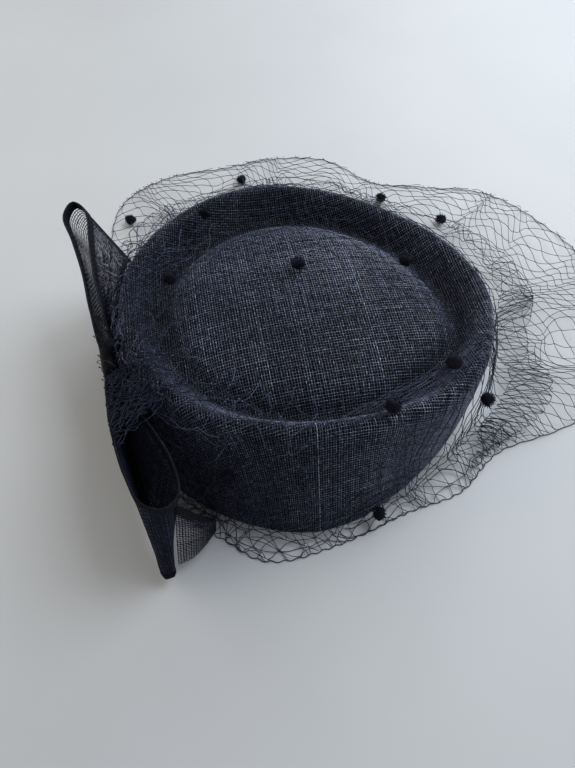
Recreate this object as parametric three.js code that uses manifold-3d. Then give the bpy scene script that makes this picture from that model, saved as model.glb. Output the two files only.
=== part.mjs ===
import * as THREE from 'three';
import Module from 'manifold-3d';

// A small blocked hat of stiff woven straw with a dotted net veil and a ribbon bow.
// Millimetres. It stands on its base edge, the pointed front toward +X, up is +Z.

// Crown
const CROWN_LENGTH = 181;
const CROWN_HEIGHT = 68;
const CROWN_WALL = 1.6;
const RIM_ROLL = 4.5;
const GROOVE_DEPTH = 14.5;
const CROWN_STEPS = 48;

// Veil
const NET_THICKNESS = 1.2;
const NET_BAR = 0.3;
const NET_STEPS = 30;
const NET_SLACK = 2.6;
const VEIL_SPREAD = 98;
const VEIL_STAND = 30;

// Dots on the veil
const DOT_DIAMETER = 6.8;
const DOT_FLATNESS = 0.82;

// Bow
const BOW_ANGLE = 211;
const BOW_TURN = 4;
const LOOP_LENGTH = 96;
const RIBBON_THICKNESS = 1.3;
const RIBBON_BANDS = 4;
const KNOT_LENGTH = 15;
const KNOT_DEPTH = 8;
const KNOT_HEIGHT = 34;
const KNOT_RISE = 0.66;

// Clear gap left between two pieces that rest on each other
const FIT_GAP = 0.3;

const HALF_LENGTH = CROWN_LENGTH / 2;
const wasm = await Module();
wasm.setup();

// Plan of the crown on one side: degrees from the front, radii as shares of half the length
const PLAN_HALF = [
  { at: 0, crest: 0.995, base: 1.072, dome: 0.873 },
  { at: 15, crest: 0.992, base: 1.039, dome: 0.829 },
  { at: 30, crest: 0.946, base: 1.020, dome: 0.779 },
  { at: 45, crest: 0.888, base: 1.028, dome: 0.738 },
  { at: 60, crest: 0.842, base: 1.077, dome: 0.711 },
  { at: 75, crest: 0.832, base: 1.112, dome: 0.696 },
  { at: 90, crest: 0.847, base: 1.112, dome: 0.702 },
  { at: 105, crest: 0.882, base: 1.116, dome: 0.718 },
  { at: 120, crest: 0.925, base: 1.127, dome: 0.740 },
  { at: 135, crest: 0.957, base: 1.130, dome: 0.762 },
  { at: 150, crest: 0.975, base: 1.122, dome: 0.785 },
  { at: 165, crest: 0.993, base: 1.116, dome: 0.812 },
  { at: 180, crest: 1.005, base: 1.114, dome: 0.829 },
];

// Section of the crown from the base edge up the wall, over the rolled rim, down into the
// groove and up over the dome: shares of the three plan radii, of the roll, of the height
// and of the groove's depth
const SECTION = [
  { base: 1.00, crest: 0.00, dome: 0.00, roll: 0.00, height: 0.00, sink: 0.00 },
  { base: 0.80, crest: 0.20, dome: 0.00, roll: 0.35, height: 0.15, sink: 0.00 },
  { base: 0.54, crest: 0.46, dome: 0.00, roll: 0.65, height: 0.37, sink: 0.00 },
  { base: 0.28, crest: 0.72, dome: 0.00, roll: 0.90, height: 0.60, sink: 0.00 },
  { base: 0.09, crest: 0.91, dome: 0.00, roll: 1.00, height: 0.81, sink: 0.00 },
  { base: 0.00, crest: 1.00, dome: 0.00, roll: 0.98, height: 1.00, sink: 0.34 },
  { base: 0.00, crest: 1.00, dome: 0.00, roll: 0.66, height: 1.00, sink: 0.11 },
  { base: 0.00, crest: 1.00, dome: 0.00, roll: 0.00, height: 1.00, sink: 0.00 },
  { base: 0.00, crest: 1.00, dome: 0.00, roll: -0.66, height: 1.00, sink: 0.12 },
  { base: 0.00, crest: 0.72, dome: 0.28, roll: -0.50, height: 1.00, sink: 0.50 },
  { base: 0.00, crest: 0.35, dome: 0.65, roll: -0.20, height: 1.00, sink: 0.90 },
  { base: 0.00, crest: 0.12, dome: 0.88, roll: 0.00, height: 1.00, sink: 1.00 },
  { base: 0.00, crest: 0.00, dome: 0.96, roll: 0.00, height: 1.00, sink: 0.92 },
  { base: 0.00, crest: 0.00, dome: 0.89, roll: 0.00, height: 1.00, sink: 0.66 },
  { base: 0.00, crest: 0.00, dome: 0.76, roll: 0.00, height: 1.00, sink: 0.41 },
  { base: 0.00, crest: 0.00, dome: 0.58, roll: 0.00, height: 1.00, sink: 0.24 },
  { base: 0.00, crest: 0.00, dome: 0.38, roll: 0.00, height: 1.00, sink: 0.13 },
  { base: 0.00, crest: 0.00, dome: 0.18, roll: 0.00, height: 1.00, sink: 0.08 },
];
const APEX_SINK = 0.07;

// Veil round a full turn: how far the hem lies past the base edge, as a share of the
// spread, and how far the net stands off the wall, as a share of the stand
const VEIL_PLAN = [
  { at: 0, hem: 0.66, stand: 0.40 },
  { at: 12, hem: 1.02, stand: 0.50 },
  { at: 24, hem: 1.16, stand: 0.60 },
  { at: 36, hem: 1.22, stand: 0.65 },
  { at: 48, hem: 1.20, stand: 0.75 },
  { at: 60, hem: 1.12, stand: 0.85 },
  { at: 72, hem: 0.88, stand: 0.95 },
  { at: 84, hem: 0.76, stand: 1.00 },
  { at: 96, hem: 0.95, stand: 1.00 },
  { at: 108, hem: 0.96, stand: 0.95 },
  { at: 120, hem: 0.92, stand: 0.85 },
  { at: 132, hem: 0.98, stand: 0.70 },
  { at: 144, hem: 0.92, stand: 0.50 },
  { at: 156, hem: 0.60, stand: 0.25 },
  { at: 168, hem: 0.34, stand: 0.08 },
  { at: 180, hem: 0.22, stand: 0.00 },
  { at: 204, hem: 0.10, stand: 0.00 },
  { at: 240, hem: 0.09, stand: 0.00 },
  { at: 260, hem: 0.10, stand: 0.00 },
  { at: 272, hem: 0.15, stand: 0.02 },
  { at: 288, hem: 0.08, stand: 0.02 },
  { at: 304, hem: 0.07, stand: 0.00 },
  { at: 316, hem: 0.12, stand: 0.04 },
  { at: 328, hem: 0.21, stand: 0.12 },
  { at: 346, hem: 0.28, stand: 0.22 },
];

// Rows of net nodes from the middle of the top out to the hem: shares of the crest radius,
// of the rim's roll, of the height, of the way from base edge to hem and of the stand-off
const NET_ROWS = [
  { top: 0.12, roll: 0.00, height: 1.00, lie: 0.00, stand: 0.00 },
  { top: 0.55, roll: 0.00, height: 1.00, lie: 0.00, stand: 0.00 },
  { top: 1.00, roll: 1.38, height: 1.02, lie: 0.00, stand: 0.00 },
  { top: 0.00, roll: 0.25, height: 0.84, lie: 0.00, stand: 0.08 },
  { top: 0.00, roll: 0.00, height: 0.45, lie: 0.00, stand: 0.50 },
  { top: 0.00, roll: 0.00, height: 0.00, lie: 0.05, stand: 0.90 },
  { top: 0.00, roll: 0.00, height: 0.00, lie: 0.29, stand: 0.60 },
  { top: 0.00, roll: 0.00, height: 0.00, lie: 0.53, stand: 0.35 },
  { top: 0.00, roll: 0.00, height: 0.00, lie: 0.77, stand: 0.15 },
  { top: 0.00, roll: 0.00, height: 0.00, lie: 1.00, stand: 0.00 },
];

// Dots: net row, step round the net, side that the bar outward turns to, share of its length
const DOTS = [
  { row: 7, step: 9, side: 1, share: 0.7 },
  { row: 8, step: 12, side: 1, share: 0.2 },
  { row: 7, step: 7, side: -1, share: 0.3 },
  { row: 6, step: 6, side: -1, share: 0.7 },
  { row: 5, step: 3, side: 1, share: 0.7 },
  { row: 4, step: 2, side: 1, share: 0.2 },
  { row: 3, step: 29, side: -1, share: 0.4 },
  { row: 0, step: 10, side: -1, share: 0.2 },
  { row: 1, step: 25, side: 1, share: 0.8 },
  { row: 3, step: 21, side: 1, share: 0.6 },
  { row: 1, step: 13, side: -1, share: 0.6 },
  { row: 1, step: 3, side: -1, share: 0.2 },
  { row: 1, step: 29, side: -1, share: 0.7 },
  { row: 1, step: 15, side: 1, share: 0.4 },
  { row: 2, step: 18, side: -1, share: 0.5 },
  { row: 4, step: 26, side: -1, share: 0.7 },
];

// Ribbon edges of the two loops: run from the knot and out from the crown as shares of the
// loop's length, rise as a share of the crown's height; the upper edge, then the lower edge
const UPPER_LOOP = [
  { run: 0.00, out: 0.010, rise: 0.84, lowRun: 0.00, lowOut: 0.060, lowRise: 0.50 },
  { run: 0.20, out: 0.030, rise: 0.96, lowRun: 0.20, lowOut: 0.030, lowRise: 0.40 },
  { run: 0.43, out: 0.035, rise: 1.05, lowRun: 0.45, lowOut: -0.020, lowRise: 0.34 },
  { run: 0.66, out: 0.060, rise: 1.12, lowRun: 0.71, lowOut: -0.090, lowRise: 0.34 },
  { run: 0.84, out: 0.085, rise: 1.17, lowRun: 0.91, lowOut: -0.120, lowRise: 0.38 },
  { run: 0.93, out: 0.030, rise: 1.19, lowRun: 0.98, lowOut: -0.160, lowRise: 0.40 },
  { run: 0.86, out: -0.030, rise: 1.17, lowRun: 0.91, lowOut: -0.205, lowRise: 0.38 },
  { run: 0.66, out: -0.030, rise: 1.12, lowRun: 0.71, lowOut: -0.180, lowRise: 0.34 },
  { run: 0.43, out: -0.020, rise: 1.05, lowRun: 0.45, lowOut: -0.090, lowRise: 0.34 },
  { run: 0.20, out: -0.030, rise: 0.96, lowRun: 0.20, lowOut: -0.030, lowRise: 0.42 },
  { run: 0.00, out: -0.055, rise: 0.84, lowRun: 0.00, lowOut: -0.005, lowRise: 0.50 },
];
const LOWER_LOOP = [
  { run: 0.00, out: 0.010, rise: 0.84, lowRun: 0.00, lowOut: 0.060, lowRise: 0.50 },
  { run: 0.20, out: 0.040, rise: 0.95, lowRun: 0.22, lowOut: 0.060, lowRise: 0.32 },
  { run: 0.44, out: 0.060, rise: 0.98, lowRun: 0.50, lowOut: 0.075, lowRise: 0.20 },
  { run: 0.66, out: 0.060, rise: 0.96, lowRun: 0.78, lowOut: 0.080, lowRise: 0.14 },
  { run: 0.82, out: 0.030, rise: 0.94, lowRun: 1.00, lowOut: 0.075, lowRise: 0.12 },
  { run: 0.88, out: -0.050, rise: 0.92, lowRun: 1.00, lowOut: 0.025, lowRise: 0.12 },
  { run: 0.83, out: -0.130, rise: 0.90, lowRun: 0.93, lowOut: 0.036, lowRise: 0.13 },
  { run: 0.64, out: -0.150, rise: 0.88, lowRun: 0.76, lowOut: 0.052, lowRise: 0.15 },
  { run: 0.42, out: -0.110, rise: 0.90, lowRun: 0.49, lowOut: 0.047, lowRise: 0.21 },
  { run: 0.20, out: -0.050, rise: 0.90, lowRun: 0.22, lowOut: 0.030, lowRise: 0.33 },
  { run: 0.00, out: -0.055, rise: 0.84, lowRun: 0.00, lowOut: -0.005, lowRise: 0.50 },
];

// End panel of the lower loop, from its crease to the corner tucked in by the base edge
const END_PANEL = [
  { run: 0.86, out: -0.100, rise: 0.86, lowRun: 0.965, lowOut: -0.005, lowRise: 0.14 },
  { run: 0.86, out: -0.155, rise: 0.64, lowRun: 0.955, lowOut: -0.080, lowRise: 0.12 },
  { run: 0.85, out: -0.205, rise: 0.42, lowRun: 0.915, lowOut: -0.155, lowRise: 0.11 },
  { run: 0.83, out: -0.250, rise: 0.24, lowRun: 0.855, lowOut: -0.230, lowRise: 0.10 },
];

const STRAW = { color: 0x171c2b, roughness: 0.78, metalness: 0.0 };
const NET = { color: 0x0f1424, roughness: 0.7, metalness: 0.0 };
const CHENILLE = { color: 0x0d1230, roughness: 0.95, metalness: 0.0 };
const RIBBON = { color: 0x1b2238, roughness: 0.62, metalness: 0.0 };

const PLAN = [
  ...PLAN_HALF,
  ...PLAN_HALF.slice(1, -1).reverse().map((row) => ({ ...row, at: 360 - row.at })),
];

// Cubic through b and c, with a and d shaping the ends, for uneven steps
function blend(a, b, c, d, key, at) {
  const step = c.at - b.at;
  const u = (at - b.at) / step;
  const leave = ((c[key] - a[key]) / (c.at - a.at)) * step;
  const arrive = ((d[key] - b[key]) / (d.at - b.at)) * step;
  const v = 1 - u;
  return (
    b[key] * (1 + 2 * u) * v * v + leave * u * v * v +
    c[key] * u * u * (3 - 2 * u) - arrive * u * u * v
  );
}

// Reads one column of a table that runs round a full turn
function readTurn(table, key, degrees) {
  const at = ((degrees % 360) + 360) % 360;
  const count = table.length;
  const start = table.findLastIndex((row) => row.at <= at);
  const rows = [-1, 0, 1, 2].map((offset) => {
    const index = start + offset;
    const laps = Math.floor(index / count);
    const row = table[((index % count) + count) % count];
    return { [key]: row[key], at: row.at + 360 * laps };
  });
  return blend(...rows, key, at);
}

function planRadius(key, degrees) {
  return HALF_LENGTH * readTurn(PLAN, key, degrees);
}

function place(radius, degrees, z) {
  const angle = THREE.MathUtils.degToRad(degrees);
  return new THREE.Vector3(radius * Math.cos(angle), radius * Math.sin(angle), z);
}

function sectionRadius(row, degrees) {
  return (
    row.base * planRadius('base', degrees) +
    row.crest * planRadius('crest', degrees) +
    row.dome * planRadius('dome', degrees) +
    row.roll * RIM_ROLL
  );
}

function sectionHeight(row) {
  return row.height * CROWN_HEIGHT - row.sink * GROOVE_DEPTH;
}

// Outer radius of the wall at a height below the rim's roll
function wallRadius(degrees, z) {
  const wall = SECTION.slice(0, 6);
  const upper = wall.findIndex((row) => sectionHeight(row) >= z - 1e-9);
  if (upper < 0) return sectionRadius(wall[5], degrees);
  if (upper === 0) return sectionRadius(wall[0], degrees);
  const low = wall[upper - 1];
  const high = wall[upper];
  const part = (z - sectionHeight(low)) / (sectionHeight(high) - sectionHeight(low));
  return THREE.MathUtils.lerp(sectionRadius(low, degrees), sectionRadius(high, degrees), part);
}

function meshOf(name, points, faces, look) {
  const geometry = new THREE.BufferGeometry();
  geometry.setAttribute(
    'position',
    new THREE.Float32BufferAttribute(points.flatMap((p) => [p.x, p.y, p.z]), 3),
  );
  geometry.setIndex(faces.flat());
  geometry.computeVertexNormals();
  const mesh = new THREE.Mesh(geometry, new THREE.MeshStandardMaterial(look));
  mesh.name = name;
  return mesh;
}

// Crown: one shell, the outer skin and the same skin moved in by the wall
function makeCrown() {
  const steps = CROWN_STEPS;
  const rows = SECTION.length;
  const angles = Array.from({ length: steps }, (_, j) => (360 * j) / steps);
  const outer = SECTION.map((row) =>
    angles.map((at) => place(sectionRadius(row, at), at, sectionHeight(row))));
  const apex = new THREE.Vector3(0, 0, CROWN_HEIGHT - APEX_SINK * GROOVE_DEPTH);
  const inner = outer.map((ring, i) => ring.map((point, j) => {
    const round = new THREE.Vector3().subVectors(ring[(j + 1) % steps], ring[(j + steps - 1) % steps]);
    const below = outer[Math.max(i - 1, 0)][j];
    const above = i + 1 < rows ? outer[i + 1][j] : apex;
    const normal = new THREE.Vector3().crossVectors(round, new THREE.Vector3().subVectors(above, below));
    if (i === 0) normal.z = 0;
    return point.clone().addScaledVector(normal.normalize(), -CROWN_WALL);
  }));
  const points = [...outer.flat(), apex, ...inner.flat(), apex.clone().setZ(apex.z - CROWN_WALL)];
  const skin = steps * rows + 1;
  const faces = [];
  for (let j = 0; j < steps; j += 1) {
    const next = (j + 1) % steps;
    for (let i = 0; i + 1 < rows; i += 1) {
      const a = i * steps + j;
      const b = i * steps + next;
      const c = a + steps;
      const d = b + steps;
      faces.push([a, b, d], [a, d, c], [skin + a, skin + d, skin + b], [skin + a, skin + c, skin + d]);
    }
    const last = (rows - 1) * steps;
    faces.push([last + j, last + next, skin - 1]);
    faces.push([skin + last + next, skin + last + j, 2 * skin - 1]);
    faces.push([j, skin + j, skin + next], [j, skin + next, next]);
  }
  return meshOf('crown', points, faces, STRAW);
}

// Veil: where the middle of the net's thickness lies for one row and angle
function netPoint(row, degrees) {
  const lift = NET_THICKNESS / 2 + FIT_GAP;
  if (row.top > 0) {
    const radius = row.top * planRadius('crest', degrees) + row.roll * RIM_ROLL;
    return place(radius, degrees, row.height * CROWN_HEIGHT + lift);
  }
  const z = row.height * CROWN_HEIGHT;
  const off = row.roll * RIM_ROLL + VEIL_STAND * row.stand * readTurn(VEIL_PLAN, 'stand', degrees);
  const lie = VEIL_SPREAD * row.lie * readTurn(VEIL_PLAN, 'hem', degrees);
  return place(wallRadius(degrees, z) + NET_SLACK + off + lie, degrees, Math.max(z, NET_THICKNESS / 2));
}

function drapeRadius(degrees, z) {
  const rows = NET_ROWS.slice(2, 6).map((row) => netPoint(row, degrees));
  const high = rows.findLastIndex((point) => point.z >= z);
  if (high < 0) return Math.hypot(rows[0].x, rows[0].y);
  const upper = rows[high];
  const lower = rows[Math.min(high + 1, rows.length - 1)];
  const part = upper.z > lower.z ? (upper.z - z) / (upper.z - lower.z) : 0;
  return THREE.MathUtils.lerp(Math.hypot(upper.x, upper.y), Math.hypot(lower.x, lower.y), part);
}

const NET_GRID = NET_ROWS.map((row) =>
  Array.from({ length: NET_STEPS }, (_, j) => netPoint(row, (360 * j) / NET_STEPS)));

function netNode(i, j) {
  return NET_GRID[i][((j % NET_STEPS) + NET_STEPS) % NET_STEPS];
}

// Upward or outward direction of the net at a node
function netNormal(i, j) {
  const round = new THREE.Vector3().subVectors(netNode(i, j + 1), netNode(i, j - 1));
  const inward = netNode(Math.max(i - 1, 0), j);
  const outward = netNode(Math.min(i + 1, NET_ROWS.length - 1), j);
  const along = new THREE.Vector3().subVectors(outward, inward);
  return new THREE.Vector3().crossVectors(along, round).normalize();
}

// One diamond gap and the half bars round it for each cell of the net
function makeVeil() {
  const points = [];
  const faces = [];
  const known = new Map();
  const edges = new Map();
  const half = NET_THICKNESS / 2;
  const corner = (i, j) => {
    const turn = ((j % NET_STEPS) + NET_STEPS) % NET_STEPS;
    const key = `${i},${turn}`;
    if (!known.has(key)) {
      known.set(key, points.length);
      const normal = netNormal(i, turn);
      points.push(netNode(i, turn).clone().addScaledVector(normal, half));
      points.push(netNode(i, turn).clone().addScaledVector(normal, -half));
    }
    return known.get(key);
  };
  for (let i = 1; i + 1 < NET_ROWS.length; i += 1) {
    for (let j = (i + 1) % 2; j < NET_STEPS; j += 2) {
      const ring = [corner(i - 1, j), corner(i, j - 1), corner(i + 1, j), corner(i, j + 1)];
      const middle = [0, 1].map((side) =>
        points[ring[1] + side].clone().lerp(points[ring[3] + side], 0.5));
      const hole = ring.map((k) => {
        points.push(points[k].clone().lerp(middle[0], NET_BAR));
        points.push(points[k + 1].clone().lerp(middle[1], NET_BAR));
        return points.length - 2;
      });
      for (let k = 0; k < 4; k += 1) {
        const next = (k + 1) % 4;
        const [a, b, c, d] = [ring[k], ring[next], hole[next], hole[k]];
        faces.push([a, b, c], [a, c, d], [a + 1, c + 1, b + 1], [a + 1, d + 1, c + 1]);
        faces.push([d, c, c + 1], [d, c + 1, d + 1]);
        edges.set(`${a},${b}`, [a, b]);
      }
    }
  }
  for (const [a, b] of edges.values()) {
    if (!edges.has(`${b},${a}`)) faces.push([b, a, a + 1], [b, a + 1, b + 1]);
  }
  return meshOf('veil', points, faces, NET);
}

// Dots: flattened balls that sit on the net's bars
function makeDot(dot, index) {
  const start = netNode(dot.row, dot.step);
  const end = netNode(dot.row + 1, dot.step + dot.side);
  const normal = netNormal(dot.row, dot.step).lerp(netNormal(dot.row + 1, dot.step + dot.side), dot.share);
  normal.normalize();
  const radius = DOT_DIAMETER / 2;
  const lift = NET_THICKNESS / 2 + FIT_GAP + radius * DOT_FLATNESS;
  const geometry = new THREE.SphereGeometry(radius, 8, 6);
  geometry.rotateX(Math.PI / 2);
  geometry.scale(1, 1, DOT_FLATNESS);
  geometry.applyQuaternion(new THREE.Quaternion().setFromUnitVectors(new THREE.Vector3(0, 0, 1), normal));
  const centre = start.clone().lerp(end, dot.share).addScaledVector(normal, lift);
  geometry.translate(centre.x, centre.y, centre.z);
  const mesh = new THREE.Mesh(geometry, new THREE.MeshStandardMaterial(CHENILLE));
  mesh.name = `veil_dot_${String(index + 1).padStart(2, '0')}`;
  return mesh;
}

// Bow: its middle lies against the veil, its two loops run along the wall either way
const KNOT_Z = KNOT_RISE * CROWN_HEIGHT;
const KNOT_TOP_SEAT = drapeRadius(BOW_ANGLE, KNOT_Z + KNOT_HEIGHT / 2);
const KNOT_LOW_SEAT = drapeRadius(BOW_ANGLE, KNOT_Z - KNOT_HEIGHT / 2);
const KNOT_LEAN = Math.atan2(KNOT_LOW_SEAT - KNOT_TOP_SEAT, KNOT_HEIGHT);
const KNOT_RADIUS = (KNOT_TOP_SEAT + KNOT_LOW_SEAT) / 2 +
  (NET_THICKNESS / 2 + FIT_GAP + KNOT_DEPTH / 2) / Math.cos(KNOT_LEAN);
const LOOP_START = KNOT_LENGTH / 2 + FIT_GAP + 1.25 * RIBBON_THICKNESS;

function bowPoint(side, run, out, rise) {
  const along = THREE.MathUtils.degToRad(BOW_ANGLE + side * (90 + BOW_TURN));
  const away = THREE.MathUtils.degToRad(BOW_ANGLE + side * BOW_TURN);
  const reach = LOOP_START + run * (LOOP_LENGTH - LOOP_START);
  const z = rise * CROWN_HEIGHT;
  const point = place(KNOT_RADIUS, BOW_ANGLE, z);
  point.x += reach * Math.cos(along) + out * LOOP_LENGTH * Math.cos(away);
  point.y += reach * Math.sin(along) + out * LOOP_LENGTH * Math.sin(away);
  const degrees = THREE.MathUtils.radToDeg(Math.atan2(point.y, point.x));
  const least = drapeRadius(degrees, z) + NET_THICKNESS / 2 + FIT_GAP + RIBBON_THICKNESS;
  return place(Math.max(Math.hypot(point.x, point.y), least), degrees, z);
}

// A ribbon between an upper and a lower edge; closed bends come back to their first row
function ribbonGeometry(table, side, closed) {
  const upper = new THREE.CatmullRomCurve3(
    table.map((row) => bowPoint(side, row.run, row.out, row.rise)),
    closed,
  );
  const lower = new THREE.CatmullRomCurve3(
    table.map((row) => bowPoint(side, row.lowRun, row.lowOut, row.lowRise)),
    closed,
  );
  const spans = closed ? table.length : table.length - 1;
  const steps = 3 * spans;
  const count = closed ? steps : steps + 1;
  const grid = Array.from({ length: RIBBON_BANDS + 1 }, (_, w) =>
    Array.from({ length: count }, (_, k) =>
      upper.getPoint(k / steps).lerp(lower.getPoint(k / steps), w / RIBBON_BANDS)));
  const points = [];
  for (let w = 0; w <= RIBBON_BANDS; w += 1) {
    for (let k = 0; k < count; k += 1) {
      const ahead = closed ? (k + 1) % count : Math.min(k + 1, count - 1);
      const behind = closed ? (k + count - 1) % count : Math.max(k - 1, 0);
      const run = new THREE.Vector3().subVectors(grid[w][ahead], grid[w][behind]);
      const drop = new THREE.Vector3().subVectors(grid[RIBBON_BANDS][k], grid[0][k]);
      const normal = new THREE.Vector3().crossVectors(run, drop).normalize();
      points.push(grid[w][k].clone().addScaledVector(normal, RIBBON_THICKNESS / 2));
      points.push(grid[w][k].clone().addScaledVector(normal, -RIBBON_THICKNESS / 2));
    }
  }
  const at = (w, k) => 2 * (w * count + (k % count));
  const faces = [];
  for (let k = 0; k < steps; k += 1) {
    for (let w = 0; w < RIBBON_BANDS; w += 1) {
      const [a, b, c, d] = [at(w, k), at(w, k + 1), at(w + 1, k + 1), at(w + 1, k)];
      faces.push([a, b, c], [a, c, d], [a + 1, c + 1, b + 1], [a + 1, d + 1, c + 1]);
    }
    const [top, topNext] = [at(0, k), at(0, k + 1)];
    const [low, lowNext] = [at(RIBBON_BANDS, k), at(RIBBON_BANDS, k + 1)];
    faces.push([top, top + 1, topNext + 1], [top, topNext + 1, topNext]);
    faces.push([low, lowNext, lowNext + 1], [low, lowNext + 1, low + 1]);
  }
  for (let w = 0; w < RIBBON_BANDS && !closed; w += 1) {
    const [a, b] = [at(w, 0), at(w + 1, 0)];
    const [c, d] = [at(w, count - 1), at(w + 1, count - 1)];
    faces.push([a, b, b + 1], [a, b + 1, a + 1], [c, d + 1, d], [c, c + 1, d + 1]);
  }
  return { points, faces };
}

function solidOf({ points, faces }) {
  return new wasm.Manifold(new wasm.Mesh({
    numProp: 3,
    vertProperties: new Float32Array(points.flatMap((p) => [p.x, p.y, p.z])),
    triVerts: new Uint32Array(faces.flat()),
  }));
}

function makeLoop(name, side, bend, panel) {
  const loop = ribbonGeometry(bend, side, true);
  if (!panel) return meshOf(name, loop.points, loop.faces, RIBBON);
  const joined = solidOf(loop).add(solidOf(ribbonGeometry(panel, side, false))).getMesh();
  const points = [];
  for (let k = 0; k < joined.vertProperties.length; k += joined.numProp) {
    points.push(new THREE.Vector3(...joined.vertProperties.slice(k, k + 3)));
  }
  return meshOf(name, points, [Array.from(joined.triVerts)], RIBBON);
}

// Knot: the wound middle of the bow
function makeKnot() {
  const shape = new THREE.Shape();
  const corner = KNOT_DEPTH * 0.3;
  const [x, y] = [KNOT_DEPTH / 2 - corner, KNOT_LENGTH / 2 - corner];
  shape.moveTo(-x - corner, -y);
  shape.quadraticCurveTo(-x - corner, -y - corner, -x, -y - corner);
  shape.lineTo(x, -y - corner);
  shape.quadraticCurveTo(x + corner, -y - corner, x + corner, -y);
  shape.lineTo(x + corner, y);
  shape.quadraticCurveTo(x + corner, y + corner, x, y + corner);
  shape.lineTo(-x, y + corner);
  shape.quadraticCurveTo(-x - corner, y + corner, -x - corner, y);
  shape.closePath();
  const geometry = new THREE.ExtrudeGeometry(shape, {
    depth: KNOT_HEIGHT,
    steps: 1,
    curveSegments: 4,
    bevelEnabled: false,
  });
  geometry.translate(0, 0, -KNOT_HEIGHT / 2);
  geometry.rotateY(-KNOT_LEAN);
  geometry.rotateZ(THREE.MathUtils.degToRad(BOW_ANGLE));
  const centre = place(KNOT_RADIUS, BOW_ANGLE, KNOT_Z);
  geometry.translate(centre.x, centre.y, centre.z);
  const mesh = new THREE.Mesh(geometry, new THREE.MeshStandardMaterial(RIBBON));
  mesh.name = 'bow_knot';
  return mesh;
}

const group = new THREE.Group();
group.name = 'hat';
group.add(makeCrown());
group.add(makeVeil());
group.add(makeLoop('bow_upper_loop', -1, UPPER_LOOP));
group.add(makeLoop('bow_lower_loop', 1, LOWER_LOOP, END_PANEL));
group.add(makeKnot());
DOTS.forEach((dot, index) => group.add(makeDot(dot, index)));

// The origin lies in the middle of the whole outline, at the level of the base edge
const box = new THREE.Box3().setFromObject(group);
const middle = box.getCenter(new THREE.Vector3());
for (const mesh of group.children) mesh.geometry.translate(-middle.x, -middle.y, -box.min.z);

export default group;
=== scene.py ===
"""A small woven straw hat with a dotted net veil and a ribbon bow, dressed round its solids."""

import math

import bmesh
import bpy
import numpy as np
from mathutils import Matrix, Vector


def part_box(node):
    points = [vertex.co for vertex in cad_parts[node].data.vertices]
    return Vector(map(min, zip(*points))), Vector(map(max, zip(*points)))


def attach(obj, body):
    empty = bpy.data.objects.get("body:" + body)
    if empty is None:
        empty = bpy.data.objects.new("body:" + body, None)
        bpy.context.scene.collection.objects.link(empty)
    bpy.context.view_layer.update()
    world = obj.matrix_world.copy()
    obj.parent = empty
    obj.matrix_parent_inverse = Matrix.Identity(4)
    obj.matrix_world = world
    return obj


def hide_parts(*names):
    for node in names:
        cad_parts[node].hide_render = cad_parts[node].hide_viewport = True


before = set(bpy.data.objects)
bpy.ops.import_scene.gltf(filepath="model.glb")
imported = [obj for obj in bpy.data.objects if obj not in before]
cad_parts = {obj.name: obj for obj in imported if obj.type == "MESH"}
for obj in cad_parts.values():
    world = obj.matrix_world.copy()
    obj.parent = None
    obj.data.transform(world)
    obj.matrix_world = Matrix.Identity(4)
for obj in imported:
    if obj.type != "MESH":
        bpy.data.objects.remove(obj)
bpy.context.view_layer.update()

# Sizes in millimetres, round the crown's own axis, the same as the solids have
HALF_LENGTH = 90.5
CROWN_HEIGHT = 68.0
CROWN_WALL = 1.6
RIM_ROLL = 4.5
GROOVE_DEPTH = 14.5
NET_THICKNESS = 1.2
NET_SLACK = 2.6
VEIL_SPREAD = 98.0
VEIL_STAND = 30.0
BOW_ANGLE = 211.0
BOW_TURN = 4.0
LOOP_LENGTH = 96.0
RIBBON_THICKNESS = 1.3
KNOT_LENGTH = 15.0
KNOT_DEPTH = 8.0
KNOT_HEIGHT = 34.0
KNOT_RISE = 0.66
FIT_GAP = 0.3
CROWN_STEPS = 48

# Degrees from the front, then crest, base and dome radii as shares of half the length
PLAN_HALF = [
    (0, 0.995, 1.072, 0.873),
    (15, 0.992, 1.039, 0.829),
    (30, 0.946, 1.020, 0.779),
    (45, 0.888, 1.028, 0.738),
    (60, 0.842, 1.077, 0.711),
    (75, 0.832, 1.112, 0.696),
    (90, 0.847, 1.112, 0.702),
    (105, 0.882, 1.116, 0.718),
    (120, 0.925, 1.127, 0.740),
    (135, 0.957, 1.130, 0.762),
    (150, 0.975, 1.122, 0.785),
    (165, 0.993, 1.116, 0.812),
    (180, 1.005, 1.114, 0.829),
]
PLAN = PLAN_HALF + [(360 - row[0], *row[1:]) for row in PLAN_HALF[-2:0:-1]]
CREST, BASE, DOME = 1, 2, 3

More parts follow.
